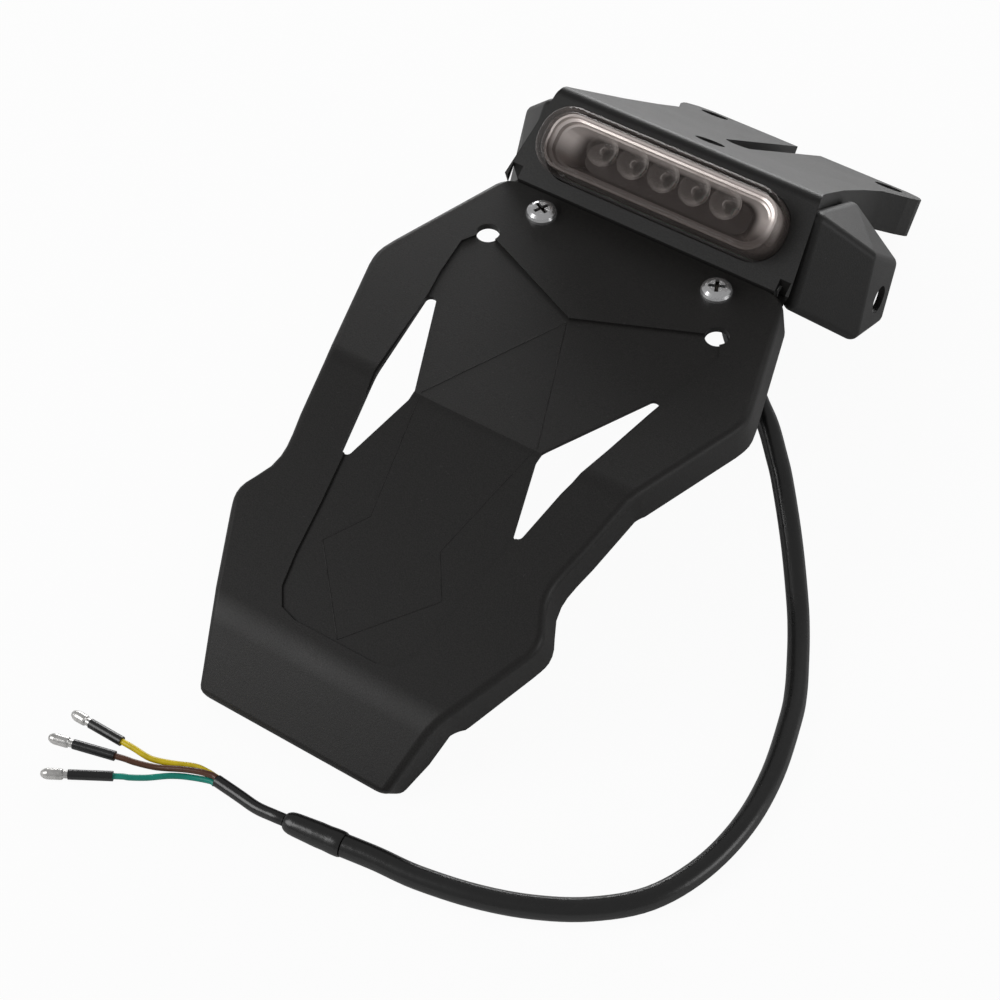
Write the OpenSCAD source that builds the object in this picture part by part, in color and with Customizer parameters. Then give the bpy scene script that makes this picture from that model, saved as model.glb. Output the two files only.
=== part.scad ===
// Rear number plate carrier and tail lamp of a dirt bike.
// Lengths in millimetres, +Z up, +X to the rider's left, the part lying on its back on a surface.

/* [Plate carrier] */
// Moulded wall of the carrier
carrier_wall = 2.6; // [2:0.1:3.2]
// Depth of the flange down the carrier's sides
flange_depth = 13; // [9:0.5:15]
// Outward flare of the flange at its free edge
flange_flare = 1.4; // [0:0.1:2]
// Rounding between face and flange
edge_radius = 3; // [2.5:0.1:4]
// Length from the upper crease to the top edge
upper_length = 111.5; // [100:0.5:120]
// Length from the upper crease to the lip bend
lower_length = 102; // [95:0.5:120]
// Length of the lip
lip_length = 31.5; // [24:0.5:36]
// Depth of the flange at the lip's free edge
lip_edge_depth = 9.7; // [6:0.1:14]
// Half width at the top edge
top_half = 62; // [58:0.5:66]
// Half width at the upper shoulders
shoulder_half = 80.5; // [76:0.5:86]
// Half width at the upper crease
crease_half = 65; // [60:0.5:70]
// Half width at the waist below the crease
waist_half = 57.6; // [54:0.5:60]
// Half width at the lower shoulders
hip_half = 65.4; // [61:0.5:70]
// Half width at the lip bend
bend_half = 48; // [44:0.5:54]
// Half width at the bottom edge
bottom_half = 40.3; // [36:0.1:46]
// Tilt of the upper panel
upper_tilt = 1.5; // [0:0.5:4]
// Tilt of the lower panel
lower_tilt = 21; // [16:0.5:26]
// Tilt of the lip
lip_tilt = 48; // [40:0.5:56]
// Depth of the recessed field on the face
field_depth = 0.9; // [0.5:0.1:1.1]
// Diameter of the number plate holes
plate_hole = 9; // [6:0.5:10]

/* [Tail housing] */
// Moulded wall of the housing
housing_wall = 2.6; // [2:0.1:3]
// Tilt of the lamp face
face_tilt = 38; // [34:0.5:42]
// Length of the lamp face from its lower edge to the ridge
face_length = 39.2; // [38:0.2:44]
// Half width of the lamp face at its lower edge
face_low_half = 62.5; // [60:0.5:66]
// Half width of the lamp face at the ridge
face_top_half = 57; // [56.5:0.1:60]
// Fall of the mounting plate behind the ridge
plate_fall = 37.5; // [34:0.5:40]
// Length of the mounting plate
plate_length = 135; // [125:1:145]
// Half width of the mounting plate at its waist
plate_waist_half = 47.5; // [45:0.5:52]
// Half width of the mounting plate at its arms
arm_half = 56; // [54:0.5:60]
// Rounding of the ridge
ridge_radius = 5; // [3:0.5:5]
// Width of the slot between the two arms
slot_width = 11; // [8:0.5:14]
// Distance from the ridge to the inner end of the slot
slot_start = 47; // [42:1:60]
// Diameter of the fender bolt holes
fender_hole = 12; // [8:0.5:13]
// Distance from the ridge to the centre hole
centre_hole_at = 21.5; // [19:0.5:26]
// Distance from the ridge to the arm holes
arm_hole_at = 124; // [118:0.5:125]
// Half of the distance between the arm holes
arm_hole_half = 41.5; // [38:0.5:44]
// Half span over the wings at their widest
wing_half = 79.4; // [78:0.2:84]
// Diameter of the indicator holes
indicator_hole = 11; // [8:0.5:12]

/* [Lamp] */
// Half length of the lens
lens_half = 51.5; // [48:0.5:54]
// Height of the lens
lens_height = 27; // [24:0.5:27.5]
// How far the lens stands out of the lamp face
lens_proud = 15; // [10:0.5:17]
// Wall of the lens
lens_wall = 2; // [1.5:0.1:2.5]
// Clearance round the lens in its opening
lens_gap = 0.3; // [0.2:0.05:0.5]
// Number of lamp cups
led_count = 5; // [4:1:5]

/* [Fasteners] */
// Diameter of the carrier screws
screw_d = 6; // [5:0.5:6]
// Diameter of the carrier screw heads
screw_head_d = 12; // [10:0.5:12.5]
// Half of the distance between the carrier screws
screw_half = 38.4; // [34:0.2:42]
// Distance of the carrier screws from the upper crease
screw_at = 101; // [99:0.5:103]

/* [Lead] */
// Diameter of the lead
cable_d = 8.2; // [7:0.1:9]
// Diameter of the joint sleeve
joint_d = 9.4; // [8.6:0.1:10]
// Diameter of the inner sheath
sheath_d = 4.4; // [4:0.1:5]
// Diameter of the single wires
wire_d = 2.2; // [1.8:0.1:2.4]
// Diameter of the bullet terminals
bullet_d = 4; // [3.5:0.1:4.5]

/* [Hidden] */
$fn = 48;
big = 400;

// The carrier is one folded strip. A place on it is its length from the upper crease,
// positive towards the lamp, and its profile point is [y, z].
crease_run = 4;
lip_run = 6;
lip_at = -lower_length;
bottom_at = lip_at - lip_length;
fold_stops = [[crease_run, upper_tilt], [-crease_run, lower_tilt], [lip_at + lip_run, lower_tilt],
    [lip_at - lip_run, lip_tilt], [bottom_at - 50, lip_tilt]];

function heading(a) = [cos(a), sin(a)];
function upright(a) = [-sin(a), cos(a)];
function arc_move(a0, a1, run) = a0 == a1 ? run * heading(a0)
    : run * 180 / PI / (a1 - a0) * [sin(a1) - sin(a0), cos(a0) - cos(a1)];
function deck_angle(s) = lookup(s, [for (i = [4:-1:0]) fold_stops[i]]);
function deck_down(s, i, p) = let(
        here = fold_stops[i],
        next = fold_stops[i + 1],
        stop = max(s, next[0]),
        q = p - arc_move(deck_angle(stop), here[1], here[0] - stop))
    s >= next[0] ? q : deck_down(s, i + 1, q);
function deck_point(s) = s >= crease_run ? s * heading(upper_tilt)
    : deck_down(s, 0, crease_run * heading(upper_tilt));
function below(s, d) = deck_point(s) - d * upright(deck_angle(s));

// The lamp face starts just behind the carrier's top edge, and the mounting plate falls behind the ridge.
seam_gap = 0.5;
face_step = 1.1;
face_start = deck_point(upper_length) + [seam_gap, face_step];
ridge = face_start + face_length * heading(face_tilt);
arm_end = ridge + plate_length * heading(-plate_fall);

// Depth of the flange along the strip: deepest round the lip bend, cut back at the lip's free edge.
bend_extra = 3;
flange_depths = [[bottom_at, lip_edge_depth], [bottom_at + 13, flange_depth + bend_extra],
    [lip_at + 8, flange_depth + bend_extra], [-60, flange_depth]];
function flange_at(s) = lookup(s, flange_depths);

// The whole part rests on the flange of the lip and on the skirt of the mounting plate.
rest_z = below(bottom_at, lip_edge_depth)[1];
skirt_depth = (arm_end[1] - rest_z) / cos(plate_fall);
nose = [for (a = [0:15:90]) below(bottom_at + edge_radius * (1 - sin(a)), edge_radius * (1 - cos(a)))];
front_y = min([for (p = nose) p[0]]);
mid_y = (front_y + arm_end[0]) / 2;

module place() {
    translate([0, -mid_y, -rest_z]) children();
}

// Puts its children on the carrier's face at length s, with local +Y up the strip and +Z off the face.
module on_deck(s) {
    p = deck_point(s);
    translate([0, p[0], p[1]]) rotate([deck_angle(s), 0, 0]) children();
}

// Puts its children on the lamp face, with local +Y up the face and +Z out of it.
module on_face() {
    translate([0, face_start[0], face_start[1]]) rotate([face_tilt, 0, 0]) children();
}

// Puts its children on the mounting plate, with local +Y from the ridge to the arms and +Z off the plate.
module on_plate() {
    translate([0, ridge[0], ridge[1]]) rotate([-plate_fall, 0, 0]) children();
}

module along_x(length) {
    rotate([90, 0, 90]) linear_extrude(height = length, center = true) children();
}

module rounded_bar(half, height, radius) {
    for (side = [-1, 1]) {
        translate([side * (half - radius), height / 2 - radius]) circle(radius);
        translate([side * (half - radius), radius - height / 2]) circle(radius);
    }
    square([2 * half, height - 2 * radius], center = true);
    square([2 * (half - radius), height], center = true);
}

function mirrored(half) = concat(half, [for (i = [len(half) - 1:-1:0]) [-half[i][0], half[i][1]]]);

// Joins rings of equal size into a closed solid. The caps are given as faces of the last ring.
module skin(rings, caps = []) {
    n = len(rings[0]);
    last = len(rings) - 1;
    ends = len(caps) > 0 ? caps : [[for (k = [0:n - 1]) k]];
    sides = [for (i = [0:last - 1], k = [0:n - 1], t = [0, 1]) let(m = (k + 1) % n)
        t == 0 ? [i * n + k, i * n + m, (i + 1) * n + m] : [i * n + k, (i + 1) * n + m, (i + 1) * n + k]];
    polyhedron(
        points = [for (ring = rings) each ring],
        faces = concat(
            [for (end = ends) [for (k = [len(end) - 1:-1:0]) end[k]]],
            sides,
            [for (end = ends) [for (k = end) last * n + k]]));
}

// Half width of the carrier along the strip, its corners eased over ease_run.
ease_run = 4;
top_ease = 5;
bottom_ease = 3;
half_widths = [[bottom_at, bottom_half], [lip_at, bend_half], [-64.5, hip_half - 0.8], [-60, hip_half],
    [-48, waist_half + 0.6], [-39, waist_half], [-26, waist_half + 3], [0, crease_half],
    [48, shoulder_half - 0.5], [54, shoulder_half], [upper_length, top_half]];
function corner_loss(gap, radius) = gap >= radius ? 0
    : radius - sqrt(max(0, radius * radius - pow(radius - gap, 2)));
function half_width(s) = let(
        near = [for (k = [-2:2]) lookup(s + k * ease_run / 2, half_widths)])
    (near[0] + near[1] + near[2] + near[3] + near[4]) / 5
    - corner_loss(upper_length - s, top_ease) - corner_loss(s - bottom_at, bottom_ease);

deck_stations = concat(
    [for (a = [0:22.5:90]) bottom_at + edge_radius * (1 - cos(a))],
    [bottom_at + 8, bottom_at + 13],
    [for (k = [-1:0.33:1]) lip_at + k * lip_run],
    [-94, -69.5, -66.5, -64.5, -62.5, -60, -57.5, -54, -48, -43, -39, -34, -26],
    [for (k = [-1:0.5:1]) k * crease_run],
    [30, 45, 49, 52, 55, 60, 85],
    [for (k = [5, 3.2, 1.6, 0.6, 0]) upper_length - k]);

// Cross section of the carrier: flange edge, rounded edge and face, then the hollow beneath and back.
// Over the last stretch at the bottom the hollow is closed by a wall.
function carrier_ring(s) = let(
        w = half_width(s),
        depth = flange_at(s),
        gap = max(0, edge_radius - (s - bottom_at)),
        sink = edge_radius - sqrt(max(0, edge_radius * edge_radius - gap * gap)),
        roof = s > bottom_at + edge_radius - 0.5 ? carrier_wall : depth - 0.3,
        arc = [for (a = [0:22.5:90]) [w - edge_radius * (1 - cos(a)), sink + edge_radius * (1 - sin(a))]],
        under = [[w - carrier_wall, roof], [w - carrier_wall + flange_flare, depth]],
        right = concat([[w + flange_flare, depth]], arc),
        loop = concat(mirrored(right), [for (q = [under[1], under[0]]) [-q[0], q[1]]], under))
    [for (q = loop) let(p = below(s, q[1])) [q[0], p[0], p[1]]];

// Recessed field of the face, as [x, length] points of its right half.
field_upper = [[0, 60.5], [45.5, 80.5], [53, 78.5], [56, 73], [53.3, 55], [50.4, 43], [47.3, 21], [44.4, 0]];
field_lower = [[44.4, 0], [36.4, -32], [33.4, -52], [31, -72], [28.4, -85], [24, -91.5], [17, -93.5]];
// Window on each side of the face, cut straight through at a tilt between the two panels.
window = [[47, 43], [50.4, 41.5], [43.6, 0], [37.6, -34.5], [36.2, -36], [27, -3.5], [27, 0.5]];
window_tilt = 11;
plate_hole_at = [50, 82];

module mirror_pair() {
    children();
    mirror([1, 0, 0]) children();
}

// A prism of the given depth in the face, over points that lie on one side of the crease.
module face_cut(points, ref, depth) {
    on_deck(ref) translate([0, -ref, -depth]) linear_extrude(height = depth + 4) polygon(points);
}

// The carrier's cross section split into convex faces: two legs, two corners and the middle.
carrier_caps = [[0, 1, 14, 15], [1, 2, 3, 4, 5, 14], [5, 6, 13, 14], [6, 7, 8, 9, 10, 13], [10, 11, 12, 13]];

module plate_carrier() {
    color([0.16, 0.15, 0.15]) place() difference() {
        skin([for (s = deck_stations) carrier_ring(s)], carrier_caps);
        face_cut(mirrored(field_upper), upper_length, field_depth);
        face_cut(mirrored(field_lower), -lower_length / 2, field_depth);
        mirror_pair() {
            rotate([window_tilt, 0, 0]) translate([0, 0, -flange_depth])
                linear_extrude(height = 2 * flange_depth) offset(r = 2) offset(delta = -2) polygon(window);
            on_deck(plate_hole_at[1]) translate([plate_hole_at[0], 0, -10]) cylinder(d = plate_hole, h = 20);
            on_deck(screw_at) translate([screw_half, 0, -10]) cylinder(d = screw_d + 0.6, h = 20);
        }
    }
}

// Profile of the housing as [y, z]: front wall, lamp face, rounded ridge and mounting plate.
wall_foot = -14;
ridge_set_back = ridge_radius * tan((face_tilt + plate_fall) / 2);
ridge_centre = ridge - ridge_set_back * heading(face_tilt) - ridge_radius * upright(face_tilt);
ridge_arc = [for (a = [face_tilt:-(face_tilt + plate_fall) / 8:-plate_fall - 0.01])
    ridge_centre + ridge_radius * upright(a)];
skirt_corner = ridge + 45 * heading(-plate_fall) - skirt_depth * upright(-plate_fall);
function housing_top(foot) = concat([[face_start[0], foot], face_start], ridge_arc, [arm_end]);

module housing_profile() {
    polygon(concat(housing_top(wall_foot),
        [arm_end - skirt_depth * upright(-plate_fall), skirt_corner, [150, wall_foot]]));
}

// The same profile run far down, so that a cut made with it leaves the housing open beneath.
module deep_profile() {
    polygon(concat(housing_top(-big), [arm_end - big * upright(-plate_fall)]));
}

// Plan of the housing on the mounting plate, as [x, distance from the ridge] points of its right half.
side_slope = (face_low_half - face_top_half) / 10;
housing_half = [[0, -30], [face_top_half + 30 * side_slope, -30], [face_top_half, 0], [face_top_half - 2, 9],
    [plate_waist_half + 2, 45], [plate_waist_half, 75], [plate_waist_half, 99], [arm_half - 2, 114],
    [arm_half, 122], [arm_half, plate_length - 9], [arm_half - 3, plate_length - 3],
    [arm_half - 9, plate_length], [0, plate_length]];

module housing_plan() {
    difference() {
        offset(r = 3) offset(delta = -3) polygon(mirrored(housing_half));
        translate([0, slot_start + slot_width / 2]) circle(slot_width / 2);
        translate([-slot_width / 2, slot_start + slot_width / 2]) square([slot_width, plate_length]);
    }
}

module plan_prism(inset) {
    on_plate() translate([0, 0, -big / 2]) linear_extrude(height = big) offset(delta = -inset) housing_plan();
}

// Wings: balls of one radius at the corners, their outer four in one canted plane that takes the indicator.
wing_round = 4;
wing_cant = 2;
wing_sweep = 3;
side_normal = [cos(wing_cant) * cos(wing_sweep), cos(wing_cant) * sin(wing_sweep), sin(wing_cant)];
function wing_corner(y, z) = [wing_half - wing_round
    - (side_normal[1] * (y - 142.5) + side_normal[2] * (z + 30)) / side_normal[0], y, z];
wing_corners = [[58, 138.5, 19], [53, 178.5, -8.5], [59.5, 123, -8],
    wing_corner(151.5, -0.5), wing_corner(172.5, -20.5), wing_corner(163.5, -39), wing_corner(142.5, -30)];
indicator_at = wing_corner(158.5, -26) + (wing_round - housing_wall / 2) * side_normal;

module wing(radius, drop) {
    hull() for (p = wing_corners, down = [0, drop]) {
        translate([p[0], p[1], p[2] - down]) sphere(radius, $fn = 24);
    }
}

module to_side_normal() {
    rotate([0, 0, wing_sweep]) rotate([0, 90 - wing_cant, 0]) children();
}

// Lamp opening and flanges, in the frame of the lamp face.
lens_at = 19.2;
lens_round = lens_height / 2 - 1;
flange_half = lens_half + 2;
flange_height = 32;
gasket_top = -housing_wall;
lens_seat = gasket_top - 0.8;
cover_seat = lens_seat - 2;
lamp_screw_at = [lens_half - 2, 13];

module lamp_flange(from, thick) {
    translate([0, lens_at, from - thick]) linear_extrude(height = thick)
        rounded_bar(flange_half, flange_height, 4);
}

module at_lamp_screws() {
    for (side = [-1, 1], row = [-1, 1]) {
        translate([side * lamp_screw_at[0], lens_at + row * lamp_screw_at[1], 0]) children();
    }
}

// Ledge under the carrier's top edge that takes the two screws.
ledge_half = 50;
ledge_depth = 20;
ledge_wall = 3;
rib_foot = -12;

module ledge() {
    on_deck(upper_length) translate([-ledge_half, -ledge_depth, -carrier_wall - ledge_wall])
        cube([2 * ledge_half, ledge_depth + 2, ledge_wall]);
    for (x = [-22, 0, 22]) {
        translate([x, 0, 0]) along_x(2)
            polygon([[face_start[0] + 1, -1.5], [face_start[0] + 1, rib_foot], [95, -1.5]]);
    }
}

exit_x = 40;
// Small notch in each lower corner of the lamp face, beside the carrier's corner.
corner_notch_at = 56.5;

module housing_body() {
    difference() {
        union() {
            intersection() {
                along_x(big) housing_profile();
                plan_prism(0);
            }
            mirror_pair() wing(wing_round, 0);
        }
        intersection() {
            along_x(big) offset(delta = -housing_wall) deep_profile();
            plan_prism(housing_wall);
        }
        mirror_pair() wing(wing_round - housing_wall, 30);
    }
    ledge();
}

module tail_housing() {
    color([0.3, 0.3, 0.3]) place() difference() {
        housing_body();
        on_face() {
            translate([0, lens_at, -10]) linear_extrude(height = 20)
                rounded_bar(lens_half + lens_gap, lens_height + 2 * lens_gap, lens_round + lens_gap);
            at_lamp_screws() translate([0, 0, -10]) cylinder(d = 3, h = 9);
        }
        on_plate() {
            translate([0, centre_hole_at, -20]) cylinder(d = fender_hole, h = 30);
            mirror_pair() translate([arm_hole_half, arm_hole_at, -20]) cylinder(d = fender_hole, h = 30);
        }
        mirror_pair() {
            translate(indicator_at) to_side_normal() cylinder(d = indicator_hole, h = 12, center = true);
            on_deck(screw_at) translate([screw_half, 0, -10]) cylinder(d = screw_d + 0.6, h = 20);
        }
        translate([exit_x - 6, face_start[0] - 5, wall_foot - 10]) cube([12, 12, 18]);
        mirror_pair() translate([corner_notch_at, face_start[0] - 1, face_start[1] - 5]) cube([4.5, 5, 12]);
    }
}

// Outline of a rounded bar at height n in the lamp frame.
function bar_ring(half, height, radius, n) = [for (q = [3:-1:0], a = [90:-11.25:0]) let(
        turn = q * 90 + a,
        sx = q == 0 || q == 3 ? 1 : -1,
        sy = q < 2 ? 1 : -1)
    [sx * (half - radius) + radius * cos(turn), lens_at + sy * (height / 2 - radius) + radius * sin(turn), n]];

// A rounded bar from depth low to height top, its top edge rounded over round_off.
module lens_block(inset, low, top, round_off) {
    rings = concat([bar_ring(lens_half - inset, lens_height - 2 * inset, lens_round - inset, low)],
        [for (a = [0:22.5:90]) let(in = inset + round_off * (1 - cos(a)))
            bar_ring(lens_half - in, lens_height - 2 * in, lens_round - in, top - round_off * (1 - sin(a)))]);
    skin(rings);
}

module lens() {
    color([0.75, 0.68, 0.62]) place() on_face() difference() {
        union() {
            lamp_flange(lens_seat, 2);
            lens_block(0, lens_seat - 1, lens_proud, 3.5);
        }
        lens_block(lens_wall, lens_seat - 3, lens_proud - lens_wall, 2);
        at_lamp_screws() translate([0, 0, -10]) cylinder(d = 3.4, h = 10);
    }
}

module lens_gasket() {
    color([0.08, 0.08, 0.08]) place() on_face() difference() {
        lamp_flange(gasket_top, 0.8);
        translate([0, lens_at, -10]) linear_extrude(height = 20)
            rounded_bar(lens_half + 0.6, lens_height + 1.2, lens_round + 0.6);
        at_lamp_screws() translate([0, 0, -10]) cylinder(d = 3.4, h = 10);
    }
}

// Back cover of the lamp: a tray with a step that carries the board.
cover_wall = 2;
board_top = -11;
board_wall = 1.6;
tray_floor = -20;
tray_half = lens_half - 2;
tray_height = lens_height - 3;
tray_round = tray_height / 2 - 2;

module lamp_back_cover() {
    color([0.1, 0.1, 0.1]) place() on_face() difference() {
        union() {
            lamp_flange(cover_seat, 2);
            translate([0, lens_at, tray_floor]) linear_extrude(height = cover_seat - tray_floor - 1)
                rounded_bar(tray_half + cover_wall, tray_height + 2 * cover_wall, tray_round + cover_wall);
        }
        translate([0, lens_at, board_top - board_wall]) linear_extrude(height = 20)
            rounded_bar(tray_half, tray_height, tray_round);
        translate([0, lens_at, tray_floor + cover_wall]) linear_extrude(height = 20)
            rounded_bar(tray_half - 2, tray_height - 4, tray_round - 2);
        at_lamp_screws() translate([0, 0, -10]) cylinder(d = 3.4, h = 10);
    }
}

module led_board() {
    color([0.1, 0.3, 0.15]) place() on_face()
        translate([0, lens_at, board_top - board_wall]) linear_extrude(height = board_wall)
            rounded_bar(tray_half - 0.3, tray_height - 0.6, tray_round - 0.3);
}

// Lamp cups in the reflector, one for each chip on the board.
cup_pitch = 13.4;
cup_d = 15;
cup_foot_d = 6;
cup_at = lens_at + 2.5;
reflector_inset = lens_wall + 0.4;
reflector_top = 4;
chip = 3.4;

module at_cups() {
    for (i = [0:led_count - 1]) {
        translate([(i - (led_count - 1) / 2) * cup_pitch, cup_at, 0]) children();
    }
}

module reflector() {
    color([0.8, 0.8, 0.8]) place() on_face() difference() {
        translate([0, lens_at, board_top]) linear_extrude(height = reflector_top - board_top)
            rounded_bar(lens_half - reflector_inset, lens_height - 2 * reflector_inset, lens_round - reflector_inset);
        at_cups() {
            translate([0, 0, board_top + 1.5])
                cylinder(d1 = cup_foot_d, d2 = cup_d, h = reflector_top - board_top - 1.4);
            translate([0, 0, board_top - 1]) cylinder(d = cup_foot_d, h = 4);
        }
        translate([0, lens_at - 8.2, reflector_top - 2]) linear_extrude(height = 4)
            rounded_bar(tray_half - 7, 4, 1.9);
    }
}

module led_chips() {
    color([0.95, 0.85, 0.3]) place() on_face() at_cups()
        translate([-chip / 2, -chip / 2, board_top]) cube([chip, chip, 1]);
}

module lamp_screws() {
    color([0.6, 0.6, 0.6]) place() on_face() at_lamp_screws() {
        translate([0, 0, cover_seat - 2 - 2]) cylinder(d = 5.5, h = 2);
        translate([0, 0, cover_seat - 3]) cylinder(d = 2.9, h = 7);
    }
}

// Cross recess of the carrier screws.
recess_length = 6.4;
recess_width = 1.5;

module carrier_screws() {
    color([0.75, 0.76, 0.78]) place() mirror_pair() on_deck(screw_at) translate([screw_half, 0, 0]) difference() {
        union() {
            rotate_extrude() polygon([[0, 0], [screw_head_d / 2, 0], [screw_head_d / 2, 1.2],
                [screw_head_d / 2 - 0.5, 2.3], [screw_head_d / 2 - 1.6, 3.1], [screw_head_d / 2 - 2.8, 3.4], [0, 3.4]]);
            translate([0, 0, -14]) cylinder(d = screw_d - 0.1, h = 15);
        }
        for (turn = [25, 115]) {
            rotate([0, 0, turn]) translate([-recess_length / 2, -recess_width / 2, 1.4])
                cube([recess_length, recess_width, 3]);
        }
    }
}

module carrier_nuts() {
    color([0.7, 0.7, 0.72]) place() mirror_pair() on_deck(screw_at)
        translate([screw_half, 0, -carrier_wall - ledge_wall - 5]) difference() {
            cylinder(d = 11.5, h = 5, $fn = 6);
            translate([0, 0, -1]) cylinder(d = screw_d + 0.1, h = 7);
        }
}

// Grommet where the lead leaves the lower side of the back cover, square to the lamp face's length.
cover_side = lens_at - tray_height / 2 - cover_wall;
exit_depth = -14;

module cable_grommet() {
    color([0.07, 0.07, 0.07]) place() on_face()
        translate([exit_x, cover_side, exit_depth]) rotate([90, 0, 0]) {
            cylinder(d = 11, h = 2.4);
            translate([0, 0, 1]) cylinder(d = 9.4, h = 2.4);
        }
}

// Tube of a given diameter along a route; its ends are cut square to the first and last stretch.
module tube(route, d, sides) {
    last = len(route) - 1;
    function run(k) = route[min(k + 1, last)] - route[max(k - 1, 0)];
    function unit(v) = v / norm(v);
    skin([for (k = [0:last]) let(
            ahead = unit(run(k)),
            side = unit(cross(ahead, [0, 0, 1])),
            lift = cross(side, ahead))
        [for (i = [0:sides - 1]) let(a = -90 + i * 360 / sides)
            route[k] + d / 2 * (cos(a) * side + sin(a) * lift)]]);
}

// Points along a straight piece of the lead.
module between(p, q) {
    run = q - p;
    translate(p) rotate([0, 0, atan2(run[1], run[0])]) rotate([0, 90 - asin(run[2] / norm(run)), 0]) children();
}

// Route of the lead on the surface the part rests on: cable, joint sleeve, inner sheath and three wires.
exit_point = face_start + (cover_side - 3.4) * heading(face_tilt) + exit_depth * upright(face_tilt)
    - [mid_y, rest_z];
exit_next = exit_point - 9 * heading(face_tilt);
cable_route = [[exit_x, exit_point[0], exit_point[1]], [exit_x, exit_next[0], exit_next[1]], [43, 39.5, 50],
    [49, 34, 46.5], [58, 26.5, 43.5], [67, 18.5, 41], [75.2, 12.4, 38], [82.4, 6.4, 32.5], [89, 0.4, 27],
    [102.3, -14.7, 17], [115.3, -32.1, 9], [122, -42.6, 6], [127.8, -53.2, 4.6], [133.5, -64.6, 4.1],
    [138, -76.4, 4.1], [144.5, -100.7, 4.1], [146.8, -124, 4.1], [144, -146.8, 4.1], [135.8, -166.5, 4.1],
    [121.8, -180.9, 4.1], [105.2, -191, 4.1], [86.9, -198, 4.1], [67.2, -202.5, 4.1], [52, -204.3, 4.7],
    [39.8, -206, 4.7]];
joint_end = [16.8, -209.2, 4.7];
sheath_route = [[16.6, -208.6, 4.2], [12.7, -209.1, 4.2], [5, -208.9, 2.5], [-3, -208.1, 2.2], [-13.3, -207.3, 2.2]];
yellow_route = [[-13.4, -206.1, 1.7], [-15.4, -206, 1.7], [-19, -205.6, 1.1], [-24, -206.2, 1.1],
    [-31.5, -209.6, 1.1], [-38.6, -212, 1.1], [-46, -212.3, 2], [-51.2, -212.3, 2]];
brown_route = [[-13.4, -207.3, 3.65], [-15.4, -207.2, 3.65], [-20, -208.4, 3.6], [-25.7, -210.4, 2.9],
    [-34.5, -213.9, 1.3], [-41.6, -216.5, 1.6], [-45.4, -217.5, 2], [-49.2, -218.5, 2]];
green_route = [[-13.4, -208.5, 1.7], [-15.4, -208.4, 1.7], [-22, -210.5, 1.1], [-28.3, -213.9, 1.1],
    [-34.4, -218.9, 1.1], [-39.3, -222.5, 1.6], [-41.3, -223.7, 2], [-44.3, -225.5, 2]];
yellow_run = [[-65.2, -212.3, 2], [-73.4, -212.3, 2]];
brown_run = [[-64.4, -222.5, 2], [-73.5, -224.9, 2]];
green_run = [[-57.6, -233.5, 2], [-65.8, -238.4, 2]];
sleeve_d = 3.6;

module cable() {
    color([0.09, 0.09, 0.09]) tube(cable_route, cable_d, 12);
}

module joint_sleeve() {
    start = cable_route[len(cable_route) - 1];
    color([0.06, 0.06, 0.06]) between(start, joint_end) cylinder(d = joint_d, h = norm(joint_end - start));
}

module inner_sheath() {
    color([0.1, 0.1, 0.1]) tube(sheath_route, sheath_d, 12);
}

module crimp_sleeve(start, run) {
    color([0.05, 0.05, 0.05]) between(start, run[0]) cylinder(d = sleeve_d, h = norm(run[0] - start));
}

// Bullet terminal: a barrel, a neck and a ball-nosed head.
module bullet(run) {
    reach = norm(run[1] - run[0]);
    r = bullet_d / 2;
    color([0.8, 0.8, 0.82]) between(run[0], run[1]) rotate_extrude() polygon([[0, 0], [1.4, 0], [1.4, 1.6],
        [r - 0.1, 2], [r, 2.6], [r, reach - 2.4], [r - 0.3, reach - 1.2], [r - 0.9, reach - 0.3], [0.6, reach],
        [0, reach]]);
}

plate_carrier();
tail_housing();
lens();
lens_gasket();
reflector();
led_board();
led_chips();
lamp_back_cover();
lamp_screws();
carrier_screws();
carrier_nuts();
cable_grommet();
cable();
joint_sleeve();
inner_sheath();
color([0.9, 0.75, 0.1]) tube(yellow_route, wire_d, 8);  // wire_yellow
color([0.35, 0.2, 0.12]) tube(brown_route, wire_d, 8);  // wire_brown
color([0.05, 0.45, 0.35]) tube(green_route, wire_d, 8);  // wire_green
crimp_sleeve(yellow_route[7], yellow_run);  // sleeve_yellow
crimp_sleeve(brown_route[7], brown_run);  // sleeve_brown
crimp_sleeve(green_route[7], green_run);  // sleeve_green
bullet(yellow_run);  // bullet_yellow
bullet(brown_run);  // bullet_brown
bullet(green_run);  // bullet_green
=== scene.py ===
"""Rear fender end of a dirt bike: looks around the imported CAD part."""

import math

import bpy
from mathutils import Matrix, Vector


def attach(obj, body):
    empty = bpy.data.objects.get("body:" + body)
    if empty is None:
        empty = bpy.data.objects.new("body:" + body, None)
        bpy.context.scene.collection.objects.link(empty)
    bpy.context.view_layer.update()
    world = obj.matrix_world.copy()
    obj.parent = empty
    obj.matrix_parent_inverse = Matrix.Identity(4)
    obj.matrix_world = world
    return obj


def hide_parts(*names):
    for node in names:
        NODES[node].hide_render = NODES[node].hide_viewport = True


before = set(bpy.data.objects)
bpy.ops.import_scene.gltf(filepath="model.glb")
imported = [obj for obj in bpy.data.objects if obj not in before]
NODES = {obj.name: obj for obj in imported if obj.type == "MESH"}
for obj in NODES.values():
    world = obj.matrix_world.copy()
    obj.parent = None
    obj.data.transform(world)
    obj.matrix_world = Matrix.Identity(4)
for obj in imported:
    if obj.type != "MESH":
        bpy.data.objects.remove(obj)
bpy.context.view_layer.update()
MM = 0.001


# Shader sums


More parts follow.
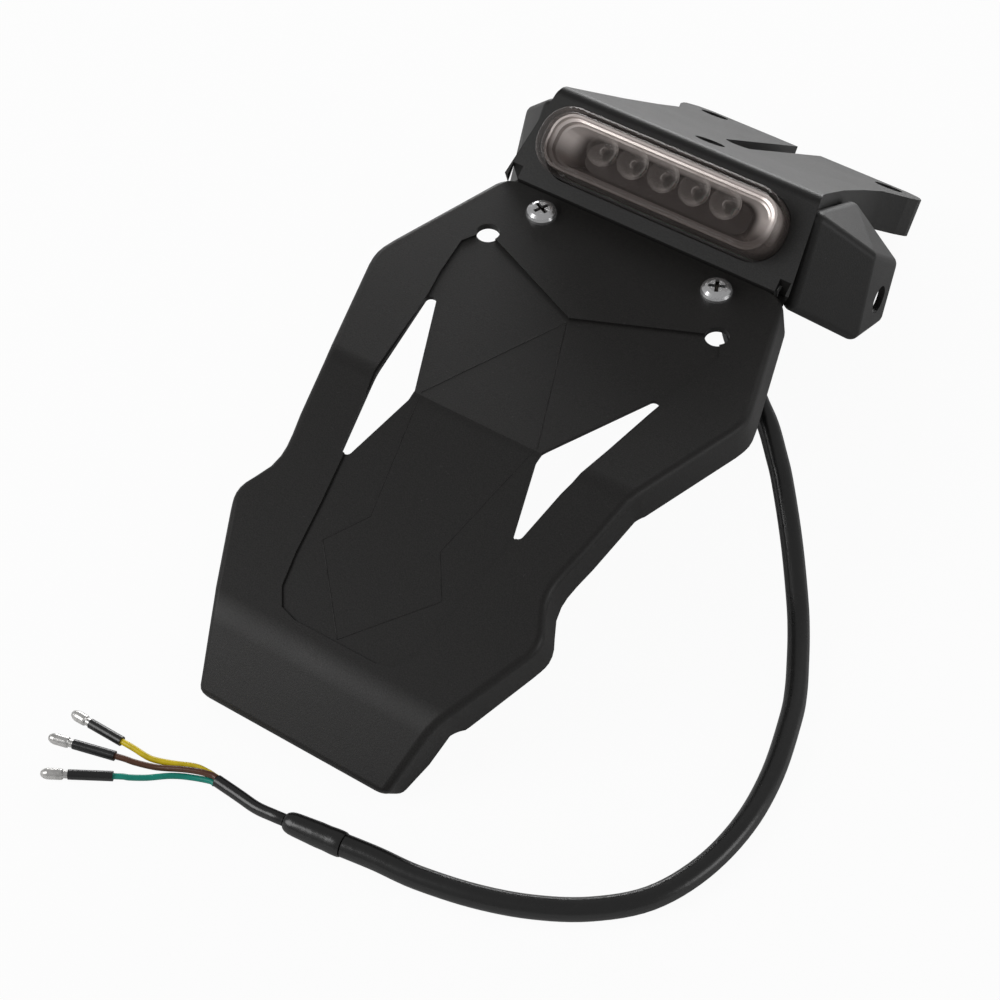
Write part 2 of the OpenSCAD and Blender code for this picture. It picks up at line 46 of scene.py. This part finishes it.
class Value:
    """A socket of one material that takes part in Python sums."""

    def __init__(self, look, socket):
        self.look = look
        self.socket = socket

    def combine(self, operation, first, second):
        return self.look.add(
            "ShaderNodeMath", {"operation": operation}, {0: first, 1: second}
        )

    def __add__(self, other):
        return self.combine("ADD", self, other)

    def __radd__(self, other):
        return self.combine("ADD", other, self)

    def __sub__(self, other):
        return self.combine("SUBTRACT", self, other)

    def __rsub__(self, other):
        return self.combine("SUBTRACT", other, self)

    def __mul__(self, other):
        return self.combine("MULTIPLY", self, other)

    def __pow__(self, other):
        return self.combine("POWER", self, other)

    def step(self, low, high):
        """0 below low, 1 above high, and smooth between them."""
        return self.look.add(
            "ShaderNodeMapRange",
            {"interpolation_type": "SMOOTHSTEP"},
            {"Value": self, "From Min": low, "From Max": high},
        )


class Look:
    """One material, built node by node around its Principled shader."""

    def __init__(self, name, colour, roughness, metallic=0.0, **constants):
        self.material = bpy.data.materials.new(name)
        self.material.use_nodes = True
        self.tree = self.material.node_tree
        self.shader = self.tree.nodes["Principled BSDF"]
        self.material.diffuse_color = (*colour, 1.0)
        self.put("Base Color", (*colour, 1.0))
        self.put("Roughness", roughness)
        self.put("Metallic", metallic)
        for socket, value in constants.items():
            self.put(socket.replace("_", " "), value)

    def put(self, socket, value):
        """Sets or links one socket of the shader."""
        self.fill(self.shader.inputs[socket], value)

    def fill(self, socket, value):
        """Sets or links one socket of any node."""
        if isinstance(value, Value):
            self.tree.links.new(value.socket, socket)
        else:
            socket.default_value = value

    def add(self, kind, settings=None, sockets=None, out=0):
        """Adds a node and gives one of its outputs."""
        node = self.tree.nodes.new(kind)
        for name, value in (settings or {}).items():
            setattr(node, name, value)
        for name, value in (sockets or {}).items():
            self.fill(node.inputs[name], value)
        return Value(self, node.outputs[out])

    def place(self, turn=(0, 0, 0), start=(0, 0, 0)):
        """Object coordinates in metres from start, turned."""
        coords = self.add("ShaderNodeTexCoord", out="Object")
        moved = self.add(
            "ShaderNodeVectorMath",
            {"operation": "SUBTRACT"},
            {0: coords, 1: Vector(start)},
        )
        return self.add(
            "ShaderNodeMapping",
            {},
            {"Vector": moved, "Rotation": Vector(turn)},
        )

    def part(self, vector, axis):
        """One coordinate of a vector."""
        return self.add("ShaderNodeSeparateXYZ", {}, {"Vector": vector}, out=axis)

    def noise(self, scale, detail=2.0, roughness=0.5):
        return self.add(
            "ShaderNodeTexNoise",
            {},
            {
                "Vector": self.place(),
                "Scale": scale,
                "Detail": detail,
                "Roughness": roughness,
            },
        )

    def blend(self, amount, first, second):
        """Mixes two colours."""
        node = self.tree.nodes.new("ShaderNodeMix")
        node.data_type = "RGBA"
        self.fill(node.inputs["Factor"], amount)
        for name, value in (("A", first), ("B", second)):
            socket = [i for i in node.inputs if i.name == name and i.type == "RGBA"][0]
            self.fill(socket, value if isinstance(value, Value) else (*value, 1.0))
        out = [o for o in node.outputs if o.type == "RGBA"][0]
        return Value(self, out)

    def bump(self, height, distance):
        """Fine relief, with its depth in metres."""
        sockets = {"Height": height, "Distance": distance, "Strength": 1.0}
        self.put("Normal", self.add("ShaderNodeBump", {}, sockets))


# Finishes


def shade(colour, factor, lift=0.0):
    return tuple(c * factor + lift for c in colour)


def moulded_black(name, colour, roughness, grain):
    """Moulded plastic with a fine grain, a mottled tone and a few pale specks."""
    look = Look(name, colour, roughness, Specular_IOR_Level=0.4)
    grain_height = look.noise(1500, 3, 0.6)
    cloud = look.noise(26, 3, 0.5)
    specks = look.noise(900, 1, 0.5).step(0.74, 0.8)
    mottle = look.noise(2400, 1, 0.5).step(0.3, 0.7)
    rough = roughness + (cloud - 0.5) * 0.14 + (grain_height - 0.5) * 0.12
    look.put("Roughness", rough)
    mottled = look.blend(mottle, shade(colour, 0.72), shade(colour, 1.28))
    look.put("Base Color", look.blend(specks * 0.3, mottled, shade(colour, 3, 0.015)))
    look.bump(grain_height, grain)
    return look.material


CARRIER_BLACK = moulded_black("carrier_black", (0.0185, 0.0175, 0.0168), 0.46, 0.00004)
HOUSING_BLACK = moulded_black("housing_black", (0.0175, 0.017, 0.0165), 0.46, 0.00006)
COVER_BLACK = moulded_black("cover_black", (0.012, 0.012, 0.012), 0.5, 0.00005)


def cable_black(name, roughness):
    """Smooth black sheath with a little dust on it."""
    look = Look(name, (0.011, 0.011, 0.011), roughness, Specular_IOR_Level=0.8)
    smear = look.noise(60, 4, 0.6)
    look.put("Roughness", roughness + (smear - 0.5) * 0.2)
    dust = look.noise(420, 3, 0.6).step(0.55, 0.75)
    clean, dusty = (0.010, 0.010, 0.010), (0.021, 0.020, 0.019)
    look.put("Base Color", look.blend(dust * 0.5, clean, dusty))
    look.bump(look.noise(500, 2, 0.5), 0.00006)
    return look.material


JACKET = cable_black("jacket_black", 0.28)
SHRINK = cable_black("shrink_black", 0.28)
RUBBER = cable_black("rubber_black", 0.6)


def wire_colour(name, colour, roughness=0.3):
    look = Look(name, colour, roughness, Specular_IOR_Level=0.5)
    look.put("Roughness", roughness + (look.noise(400, 2) - 0.5) * 0.15)
    worn = look.noise(240, 3, 0.6).step(0.4, 0.7)
    look.put("Base Color", look.blend(worn, colour, shade(colour, 0.82)))
    look.bump(look.noise(700, 2, 0.5), 0.00003)
    return look.material


YELLOW = wire_colour("wire_yellow", (1.0, 0.76, 0.02))
BROWN = wire_colour("wire_brown", (0.14, 0.055, 0.03))
GREEN = wire_colour("wire_green", (0.01, 0.36, 0.27))


def bright_metal(name, colour, roughness, streak):
    """Plated metal, dull in patches."""
    look = Look(name, colour, roughness, 0.65)
    dirt = look.noise(700, 3, 0.6)
    look.put("Roughness", roughness + (dirt - 0.45) * 0.22)
    dull = look.noise(330, 2, 0.5).step(0.45, 0.7)
    look.put("Base Color", look.blend(dull, colour, shade(colour, 0.8)))
    look.bump(look.noise(streak, 3, 0.6), 0.00003)
    return look.material


ZINC = bright_metal("zinc_steel", (0.86, 0.87, 0.88), 0.2, 900)
TINNED = bright_metal("tinned_metal", (0.80, 0.79, 0.77), 0.25, 1200)

# The carrier's screws in plan, and the height below which their recess is painted dark as
# shade, in mm.
SCREW_AT = (38.4, 33.6)
RECESS_REACH = (3.3, 3.6)
RECESS_LEVEL = (71.4, 71.7)
SCREW_PLATING = (0.95, 0.95, 0.96)
SCREW_RECESS_SHADE = (0.05, 0.045, 0.04)
SCREW_ROUGHNESS = 0.2


def screw_zinc():
    """Plated screw heads with painted shade in their cross recess."""
    look = Look("screw_zinc", SCREW_PLATING, SCREW_ROUGHNESS, 0.88)
    spot = look.place()
    across = look.add(
        "ShaderNodeMath", {"operation": "ABSOLUTE"}, {0: look.part(spot, "X")}
    ) - SCREW_AT[0] * MM
    along = look.part(spot, "Y") - SCREW_AT[1] * MM
    reach = (across ** 2 + along ** 2) ** 0.5
    near = 1 - reach.step(RECESS_REACH[0] * MM, RECESS_REACH[1] * MM)
    deep = 1 - look.part(spot, "Z").step(RECESS_LEVEL[0] * MM, RECESS_LEVEL[1] * MM)
    # Painted shade: the base colour turns dark inside the cross recess.
    look.put("Base Color", look.blend(near * deep, SCREW_PLATING, SCREW_RECESS_SHADE))
    look.put("Roughness", SCREW_ROUGHNESS + (look.noise(500, 2) - 0.5) * 0.1)
    return look.material


SCREW = screw_zinc()

# The lamp face: its lower edge on the middle plane and the lens's middle up from there, in mm,
# and how far it leans back.
FACE_START = (0, 44.644, 70.612)
FACE_TURN = math.radians(38)
LENS_MIDDLE = 19.2


def tray_chrome():
    """Vacuum plated plastic, painted light: warm bright upper walls, darker lower walls, brown
    floor shade.
    """
    roughness = 0.2
    look = Look("reflector_chrome", (0.80, 0.74, 0.71), roughness, 0.4)
    spot = look.place((-FACE_TURN, 0, 0), [c * MM for c in FACE_START])
    depth = look.part(spot, "Z")
    up = look.part(spot, "Y")
    wall = depth.step(-1.5 * MM, 3.0 * MM)
    upper = up.step((LENS_MIDDLE - 6) * MM, (LENS_MIDDLE + 4) * MM)
    # Painted reflection: the upper walls lighter than the lower ones.
    bright = look.blend(upper, (0.15, 0.125, 0.115), (0.96, 0.87, 0.83))
    # Painted shade: the floor of the tray dark brown, under the lit walls.
    look.put("Base Color", look.blend(wall, (0.035, 0.026, 0.023), bright))
    look.put("Roughness", roughness + (look.noise(90, 2) - 0.5) * 0.12)
    return look.material


CHROME = tray_chrome()


def board_green():
    """Solder resist over faint tracks."""
    look = Look("board_green", (0.01, 0.05, 0.02), 0.4)
    tracks = look.add(
        "ShaderNodeTexBrick",
        {"offset": 0.5},
        {
            "Vector": look.place((-FACE_TURN, 0, 0)),
            "Scale": 160.0,
            "Mortar Size": 0.06,
            "Color1": (0.0, 0.0, 0.0, 1.0),
            "Color2": (0.1, 0.1, 0.1, 1.0),
            "Mortar": (1.0, 1.0, 1.0, 1.0),
        },
    )
    resist, track = (0.008, 0.045, 0.018), (0.02, 0.13, 0.05)
    look.put("Base Color", look.blend(tracks * 0.6, resist, track))
    look.put("Roughness", 0.35 + (look.noise(300, 2) - 0.5) * 0.2)
    return look.material


def chip_yellow():
    look = Look("chip_yellow", (0.40, 0.34, 0.26), 0.25)
    clumps = look.noise(1600, 3, 0.6).step(0.35, 0.65)
    look.put("Base Color", look.blend(clumps, (0.42, 0.36, 0.28), (0.30, 0.24, 0.16)))
    look.bump(clumps, 0.00004)
    return look.material


BOARD = board_green()
CHIP = chip_yellow()


def clear_plastic(name, colour, thin, edge):
    """See-through plastic that turns solid where it is looked along."""
    roughness = 0.05
    look = Look(
        name,
        colour,
        roughness,
        Specular_IOR_Level=0.6,
        Coat_Weight=0.5,
        Coat_Roughness=0.03,
    )
    facing = look.add("ShaderNodeLayerWeight", {}, {"Blend": 0.35}, out="Facing")
    scuffs = look.noise(220, 4, 0.65)
    look.put("Alpha", thin + facing ** 2 * edge)
    look.put("Roughness", roughness + scuffs.step(0.55, 0.8) * 0.1)
    look.put("Base Color", look.blend(scuffs, colour, shade(colour, 1.25)))
    return look.material


LENS = clear_plastic("lens_plastic", (0.34, 0.285, 0.265), 0.04, 0.5)
OPTIC = clear_plastic("optic_clear", (0.85, 0.78, 0.74), 0.03, 1.0)

FINISHES = {
    "plate_carrier": CARRIER_BLACK,
    "tail_housing": HOUSING_BLACK,
    "lens": LENS,
    "lens_gasket": RUBBER,
    "reflector": CHROME,
    "led_board": BOARD,
    "led_chips": CHIP,
    "lamp_back_cover": COVER_BLACK,
    "lamp_screws": ZINC,
    "carrier_screws": SCREW,
    "carrier_nuts": ZINC,
    "cable_grommet": RUBBER,
    "joint_sleeve": SHRINK,
    "sleeve_yellow": SHRINK,
    "sleeve_brown": SHRINK,
    "sleeve_green": SHRINK,
    "bullet_yellow": TINNED,
    "bullet_brown": TINNED,
    "bullet_green": TINNED,
}


def paint(obj, material):
    obj.data.materials.clear()
    obj.data.materials.append(material)


for node_name, finish in FINISHES.items():
    paint(NODES[node_name], finish)


# Camera

AZIMUTH = 33.7
ELEVATION = 48.2
LENS_LENGTH = 93.6
CAMERA_AT = Vector((0.3575, -0.5883, 0.7313))


def add_camera():
    turn = math.radians(AZIMUTH)
    lift = math.radians(ELEVATION)
    back = Vector(
        (
            math.sin(turn) * math.cos(lift),
            -math.cos(turn) * math.cos(lift),
            math.sin(lift),
        )
    )
    bpy.ops.object.camera_add(location=CAMERA_AT)
    camera = bpy.context.object
    camera.data.sensor_width = 36
    camera.data.lens = LENS_LENGTH
    camera.data.clip_start = 0.01
    camera.rotation_mode = "QUATERNION"
    camera.rotation_quaternion = (-back).to_track_quat("-Z", "Y")
    bpy.context.scene.camera = camera


add_camera()


# Lead

ROUTE_STEPS = 6
WIRE = 2.2


def smooth_route(points, floor):
    """A curve through the points, in metres, that never dips below floor."""
    points = [Vector(p) * MM for p in points]
    ends = [2 * points[0] - points[1], *points, 2 * points[-1] - points[-2]]
    out = []
    for before, here, there, after in zip(ends, ends[1:], ends[2:], ends[3:]):
        for i in range(ROUTE_STEPS):
            t = i / ROUTE_STEPS
            spot = 0.5 * (
                2 * here
                + (there - before) * t
                + (2 * before - 5 * here + 4 * there - after) * t**2
                + (3 * here - before - 3 * there + after) * t**3
            )
            spot.z = max(spot.z, floor)
            out.append(spot)
    out.append(points[-1])
    return out


def route_length(spots):
    return sum((b - a).length for a, b in zip(spots, spots[1:]))


def lay_cord(name, points, diameter, node, material):
    """One free stretch of the lead, laid along the route of its CAD tube."""
    spots = smooth_route(points, diameter / 2 * MM)
    data = bpy.data.curves.new(name, "CURVE")
    data.dimensions = "3D"
    spline = data.splines.new("POLY")
    spline.points.add(len(spots) - 1)
    for point, spot in zip(spline.points, spots):
        point.co = (*spot, 1.0)
    data.bevel_depth = diameter / 2 * MM
    data.bevel_resolution = 5
    data.use_fill_caps = True
    cord = bpy.data.objects.new(name, data)
    bpy.context.scene.collection.objects.link(cord)
    data.materials.append(material)
    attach(cord, "root")
    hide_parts(node)
    round(route_length(spots), 4)


# Points of the routes, in mm from the part's origin.
CABLE_ROUTE = [
    (40, 54.68, 60.69),
    (40, 47.59, 55.15),
    (43, 39.5, 50),
    (49, 34, 46.5),
    (58, 26.5, 43.5),
    (67, 18.5, 41),
    (75.2, 12.4, 38),
    (82.4, 6.4, 32.5),
    (89, 0.4, 27),
    (102.3, -14.7, 17),
    (115.3, -32.1, 9),
    (122, -42.6, 6),
    (127.8, -53.2, 4.6),
    (133.5, -64.6, 4.1),
    (138, -76.4, 4.1),
    (144.5, -100.7, 4.1),
    (146.8, -124, 4.1),
    (144, -146.8, 4.1),
    (135.8, -166.5, 4.1),
    (121.8, -180.9, 4.1),
    (105.2, -191, 4.1),
    (86.9, -198, 4.1),
    (67.2, -202.5, 4.1),
    (52, -204.3, 4.7),
    (39.8, -206, 4.7),
]
SHEATH_ROUTE = [
    (16.6, -208.6, 4.2),
    (12.7, -209.1, 4.2),
    (5, -208.9, 2.5),
    (-3, -208.1, 2.2),
    (-13.3, -207.3, 2.2),
]
YELLOW_ROUTE = [
    (-13.4, -206.1, 1.7),
    (-15.4, -206, 1.7),
    (-19, -205.6, 1.1),
    (-24, -206.2, 1.1),
    (-31.5, -209.6, 1.1),
    (-38.6, -212, 1.1),
    (-46, -212.3, 2),
    (-51.2, -212.3, 2),
]
BROWN_ROUTE = [
    (-13.4, -207.3, 3.65),
    (-15.4, -207.2, 3.65),
    (-20, -208.4, 3.6),
    (-25.7, -210.4, 2.9),
    (-34.5, -213.9, 1.3),
    (-41.6, -216.5, 1.6),
    (-45.4, -217.5, 2),
    (-49.2, -218.5, 2),
]
GREEN_ROUTE = [
    (-13.4, -208.5, 1.7),
    (-15.4, -208.4, 1.7),
    (-22, -210.5, 1.1),
    (-28.3, -213.9, 1.1),
    (-34.4, -218.9, 1.1),
    (-39.3, -222.5, 1.6),
    (-41.3, -223.7, 2),
    (-44.3, -225.5, 2),
]

# Hand modelling


def only(piece):
    """Selects one piece alone and makes it the active one."""
    bpy.ops.object.select_all(action="DESELECT")
    piece.select_set(True)
    bpy.context.view_layer.objects.active = piece


def edit(piece, action="SELECT"):
    only(piece)
    bpy.ops.object.mode_set(mode="EDIT")
    bpy.ops.mesh.select_all(action=action)


def leave_edit():
    bpy.ops.object.mode_set(mode="OBJECT")


def finish_piece(piece, material, slot, *replaced, smooth=32):
    """Settles a new piece: its place, shading, finish, body and the nodes it stands for."""
    only(piece)
    bpy.ops.object.transform_apply(location=True, rotation=True, scale=True)
    bpy.ops.object.shade_smooth_by_angle(angle=math.radians(smooth))
    paint(piece, material)
    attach(piece, "root")
    if replaced:
        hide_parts(*replaced)
    return piece


def apply(piece, kind, **settings):
    """Adds one modifier and applies it."""
    only(piece)
    modifier = piece.modifiers.new(kind.lower(), kind)
    for name, value in settings.items():
        setattr(modifier, name, value)
    bpy.ops.object.modifier_apply(modifier=modifier.name)


def merged_copy(node, name):
    """A CAD node's shape as one joined mesh with clean flat faces."""
    piece = bpy.data.objects.new(name, NODES[node].data.copy())
    bpy.context.scene.collection.objects.link(piece)
    edit(piece)
    bpy.ops.mesh.remove_doubles(threshold=0.02 * MM)
    bpy.ops.mesh.dissolve_limited(angle_limit=math.radians(0.4))
    leave_edit()
    return piece


EDGE_REACH = 1.5


def edges_along(piece, start, end):
    """Selects the sharp edges that lie along a line, in mm, on either side of the part."""
    start, end = Vector(start), Vector(end)
    way = (end - start).normalized()
    edit(piece, "DESELECT")
    leave_edit()
    for edge in piece.data.edges:
        spots = [piece.data.vertices[i].co / MM for i in edge.vertices]
        spots = [Vector((abs(s.x), s.y, s.z)) for s in spots]
        off = [(s - start) - way * (s - start).dot(way) for s in spots]
        along = [(s - start).dot(way) for s in spots]
        straight = abs((spots[1] - spots[0]).normalized().dot(way)) > 0.97
        inside = all(-EDGE_REACH < a < (end - start).length + EDGE_REACH for a in along)
        edge.select = straight and inside and max(o.length for o in off) < EDGE_REACH
    bpy.ops.object.mode_set(mode="EDIT")
    bpy.ops.mesh.select_mode(type="EDGE")


SHARP = 35


def softened(node, name, width, rounded=()):
    """A merged copy of a node with rounded edges, some of them more than the rest."""
    piece = merged_copy(node, name)
    for start, end, radius in rounded:
        edges_along(piece, start, end)
        bpy.ops.mesh.bevel(
            offset=radius * MM, segments=4, affect="EDGES", clamp_overlap=True
        )
        bpy.ops.mesh.select_mode(type="VERT")
        leave_edit()
    apply(
        piece,
        "BEVEL",
        width=width * MM,
        segments=2,
        limit_method="ANGLE",
        angle_limit=math.radians(SHARP),
        use_clamp_overlap=True,
    )
    return piece


carrier = softened("plate_carrier", "carrier_shell", 0.7)
finish_piece(carrier, CARRIER_BLACK, "carrier_plastic", "plate_carrier")
apply(carrier, "WEIGHTED_NORMAL", keep_sharp=True, weight=100)
housing = softened(
    "tail_housing",
    "housing_shell",
    0.9,
    rounded=[
        ((62.4, 44.6, 70.6), (57.5, 72.5, 92.4), 3.0),
        ((60.5, 54.7, 53.8), (74.7, 72.1, 34.2), 1.6),
        ((76.8, 75.2, 32.6), (76.1, 94.7, 24.2), 1.6),
    ],
)
finish_piece(housing, HOUSING_BLACK, "housing_plastic", "tail_housing")
apply(housing, "WEIGHTED_NORMAL", keep_sharp=True, weight=100)


# Fine moulded lines on the carrier's face, in mm across and along, one half of each.
FACET_LINE = [(0, -8.5), (24.6, -65.6), (14.8, -112), (25.3, -126.3), (0, -153.2)]
LINE_RADIUS = 0.24
LINE_SINK = 0.35
LINE_PITCH = 2.5
OVER_FACE = 200


def face_spots(points, shell):
    """The points of a line, in mm, laid down on the shell's upper face."""
    spots = []
    for (x, y), (next_x, next_y) in zip(points, points[1:]):
        count = max(1, round(math.hypot(next_x - x, next_y - y) / LINE_PITCH))
        for i in range(count + 1):
            along = i / count
            here = (x + (next_x - x) * along, y + (next_y - y) * along, OVER_FACE)
            found, spot, normal, _ = shell.ray_cast(Vector(here) * MM, (0, 0, -1))
            if found:
                spots.append(spot + normal * LINE_RADIUS * MM * -LINE_SINK)
    return spots


def add_face_line(name, half, shell):
    """A thin raised line that runs down one side of the face and up the other."""
    other = [(-x, y) for x, y in reversed(half)]
    data = bpy.data.curves.new(name, "CURVE")
    data.dimensions = "3D"
    for points in (half, other):
        spots = face_spots(points, shell)
        spline = data.splines.new("POLY")
        spline.points.add(len(spots) - 1)
        for point, spot in zip(spline.points, spots):
            point.co = (*spot, 1.0)
    data.bevel_depth = LINE_RADIUS * MM
    data.bevel_resolution = 1
    data.use_fill_caps = True
    line = bpy.data.objects.new(name, data)
    bpy.context.scene.collection.objects.link(line)
    only(line)
    bpy.ops.object.convert(target="MESH")
    finish_piece(bpy.context.object, CARRIER_BLACK, "carrier_plastic", smooth=60)


add_face_line("carrier_facet_line", FACET_LINE, carrier)


def to_lamp(piece):
    """Puts a piece that was made flat at the origin onto the lamp face."""
    piece.rotation_euler = (FACE_TURN, 0, 0)
    piece.location = [c * MM for c in FACE_START]


def grow(step_z, scale, middle):
    """Extrudes the chosen face and scales its new end about the middle."""
    bpy.ops.mesh.extrude_region_move(
        TRANSFORM_OT_translate={"value": (0, 0, step_z * MM)}
    )
    bpy.ops.transform.resize(value=(*scale, 1), center_override=middle)


# The lamp's tray on the face, in mm: foot and rim heights, outline, then the steps down inside,
# each a depth and how far it draws in.
TRAY_FOOT = -10.4
TRAY_RIM = 9.4
TRAY_HALF = 48.6
TRAY_HIGH = 22.2
TRAY_CORNER = 9.0
TRAY_WALL = 0.9
TRAY_STEPS = [
    (-1.4, (0.99, 0.97)),
    (-0.3, (0.975, 0.91)),
    (-1.8, (0.985, 0.96)),
    (-0.3, (0.98, 0.93)),
    (-8.0, (0.80, 0.76)),
]
CUP_PITCH = 13.4
CUP_AT = 21.7
CUP_COUNT = 5
CUP_FOOT_RADIUS = 3.0
OPTIC_STATIONS = [
    (-9.6, 2.3),
    (-3.0, 2.6),
    (0.5, 3.5),
    (3.5, 4.9),
    (6.0, 5.8),
    (6.6, 6.2),
    (7.2, 6.2),
    (7.2, 5.5),
    (6.0, 5.0),
    (5.2, 3.6),
    (5.0, 1.8),
    (6.2, 1.2),
    (6.8, 0.5),
]


def cup_places():
    return [(i - (CUP_COUNT - 1) / 2) * CUP_PITCH for i in range(CUP_COUNT)]


def turned(name, stations, sides=32):
    """A turned shape along Z from pairs of height and radius, in mm."""
    first_height, first_radius = stations[0]
    bpy.ops.object.select_all(action="DESELECT")
    bpy.ops.mesh.primitive_circle_add(
        vertices=sides,
        radius=first_radius * MM,
        fill_type="NGON",
        location=(0, 0, first_height * MM),
    )
    piece = bpy.context.object
    piece.name = name
    bpy.ops.object.transform_apply(location=True)
    edit(piece)
    height, radius = first_height, first_radius
    for next_height, next_radius in stations[1:]:
        middle = (0, 0, next_height * MM)
        grow(next_height - height, (next_radius / radius,) * 2, middle)
        height, radius = next_height, next_radius
    bpy.ops.mesh.select_all(action="SELECT")
    bpy.ops.mesh.normals_make_consistent(inside=False)
    leave_edit()
    return piece


def add_tray():
    """A closed tray, grown from its foot to its rim and back down inside."""
    bpy.ops.object.select_all(action="DESELECT")
    bpy.ops.mesh.primitive_plane_add(size=1)
    tray = bpy.context.object
    tray.name = "lamp_tray"
    middle = (0, LENS_MIDDLE * MM, TRAY_RIM * MM)
    tray.scale = (2 * TRAY_HALF * MM, TRAY_HIGH * MM, 1)
    tray.location = (0, LENS_MIDDLE * MM, TRAY_FOOT * MM)
    only(tray)
    bpy.ops.object.transform_apply(location=True, scale=True)
    edit(tray)
    bpy.ops.mesh.bevel(affect="VERTICES", offset=TRAY_CORNER * MM, segments=8)
    bpy.ops.mesh.select_all(action="SELECT")
    grow(TRAY_RIM - TRAY_FOOT, (1, 1), middle)
    bpy.ops.mesh.inset(thickness=TRAY_WALL * MM)
    for step_z, scale in TRAY_STEPS:
        grow(step_z, scale, middle)
    bpy.ops.mesh.select_all(action="SELECT")
    bpy.ops.mesh.normals_make_consistent(inside=False)
    leave_edit()
    return tray


def add_lamp():
    """The tray with a hole at each chip, and a turned optic over each."""
    tray = add_tray()
    drills = []
    for x in cup_places():
        drill = turned("drill", [(-12, CUP_FOOT_RADIUS), (2, CUP_FOOT_RADIUS)], 24)
        drill.location = (x * MM, CUP_AT * MM, 0)
        drills.append(drill)
        apply(tray, "BOOLEAN", object=drill, operation="DIFFERENCE", solver="EXACT")
    for drill in drills:
        bpy.data.objects.remove(drill)
    to_lamp(tray)
    finish_piece(tray, CHROME, "reflector_chrome", "reflector", smooth=25)
    for number, x in enumerate(cup_places()):
        optic = turned(f"lamp_optic_{number + 1}", OPTIC_STATIONS)
        optic.location = (x * MM, CUP_AT * MM, 0)
        only(optic)
        bpy.ops.object.transform_apply(location=True)
        to_lamp(optic)
        finish_piece(optic, OPTIC, "lens_plastic", smooth=40)


add_lamp()

SLEEVE_STATIONS = [
    (0, 4.25),
    (0.5, 4.6),
    (4.0, 4.65),
    (6.5, 4.35),
    (9.5, 4.5),
    (13.0, 4.3),
    (17.0, 4.15),
    (20.5, 4.0),
    (22.0, 3.4),
    (23.2, 2.6),
]


def add_joint_sleeve():
    """Heat shrink that has drawn in over the joint of the lead."""
    start, end = Vector(CABLE_ROUTE[-1]), Vector(SHEATH_ROUTE[0])
    sleeve = turned("joint_shrink", SLEEVE_STATIONS, 28)
    sleeve.rotation_mode = "QUATERNION"
    sleeve.rotation_quaternion = (end - start).to_track_quat("Z", "Y")
    sleeve.location = start * MM
    apply(sleeve, "SUBSURF", levels=1, render_levels=1)
    return finish_piece(sleeve, SHRINK, "shrink_black", "joint_sleeve", smooth=50)


joint_shrink = add_joint_sleeve()

lay_cord(
    "lead_cable", CABLE_ROUTE, 8.2, "cable", JACKET,
)
lay_cord(
    "lead_sheath", SHEATH_ROUTE, 4.4, "inner_sheath", JACKET,
)
for colour, route, material in (
    ("yellow", YELLOW_ROUTE, YELLOW),
    ("brown", BROWN_ROUTE, BROWN),
    ("green", GREEN_ROUTE, GREEN),
):
    lay_cord(
        f"lead_{colour}", route, WIRE, f"wire_{colour}", material,
    )


# Floor and light

# How much of the camera's view of the floor is plain white, and how bright the room is.
FLOOR_GLOW = 0.95
ROOM_LIGHT = 0.26
FLOOR_DROP = 0.0004


def pale_floor():
    """Plain pale to the object, near white with its shadow where the camera looks."""
    look = Look("floor_pale", (0.92, 0.92, 0.92), 0.9, Specular_IOR_Level=0.1)
    seen = look.add("ShaderNodeLightPath", out="Is Camera Ray")
    glow = look.add("ShaderNodeEmission", {}, {"Color": (1, 1, 1, 1), "Strength": 1.0})
    base = Value(look, look.shader.outputs[0])
    mixed = look.add("ShaderNodeMixShader", {}, {0: seen * FLOOR_GLOW, 1: base, 2: glow})
    look.fill(look.tree.nodes["Material Output"].inputs["Surface"], mixed)
    return look.material


def add_floor():
    bpy.ops.object.select_all(action="DESELECT")
    bpy.ops.mesh.primitive_plane_add(size=6, location=(0, 0, 0))
    floor = bpy.context.object
    floor.name = "floor"
    floor.location.z = -FLOOR_DROP
    paint(floor, pale_floor())


def add_light(name, place, target, size, power):
    """A rectangular softbox at a place in metres, turned to its target, in watts."""
    data = bpy.data.lights.new(name, "AREA")
    data.shape = "RECTANGLE"
    data.size, data.size_y = size
    data.energy = power
    lamp = bpy.data.objects.new(name, data)
    bpy.context.scene.collection.objects.link(lamp)
    lamp.location = place
    lamp.rotation_mode = "QUATERNION"
    lamp.rotation_quaternion = (Vector(target) - Vector(place)).to_track_quat("-Z", "Y")


def add_world():
    """A dim even room that the camera sees as white."""
    world = bpy.data.worlds.new("studio")
    bpy.context.scene.world = world
    world.use_nodes = True
    tree = world.node_tree
    path = tree.nodes.new("ShaderNodeLightPath")
    level = tree.nodes.new("ShaderNodeMapRange")
    level.inputs["To Min"].default_value = ROOM_LIGHT
    level.inputs["To Max"].default_value = 1.0
    tree.links.new(path.outputs["Is Camera Ray"], level.inputs["Value"])
    room = tree.nodes["Background"]
    room.inputs["Color"].default_value = (1, 1, 1, 1)
    tree.links.new(level.outputs["Result"], room.inputs["Strength"])


add_floor()
add_world()
add_light("softbox_back", (-0.6, 1.6, 0.35), (0, 0.05, 0.05), (1.8, 0.6), 22)
add_light("softbox_front", (-0.9, -1.0, 0.9), (0, 0, 0.03), (0.9, 0.9), 8)
add_light("softbox_right", (1.5, 0.3, 0.4), (0, 0, 0.03), (0.8, 0.6), 3)

scene = bpy.context.scene
scene.view_settings.view_transform = "Standard"
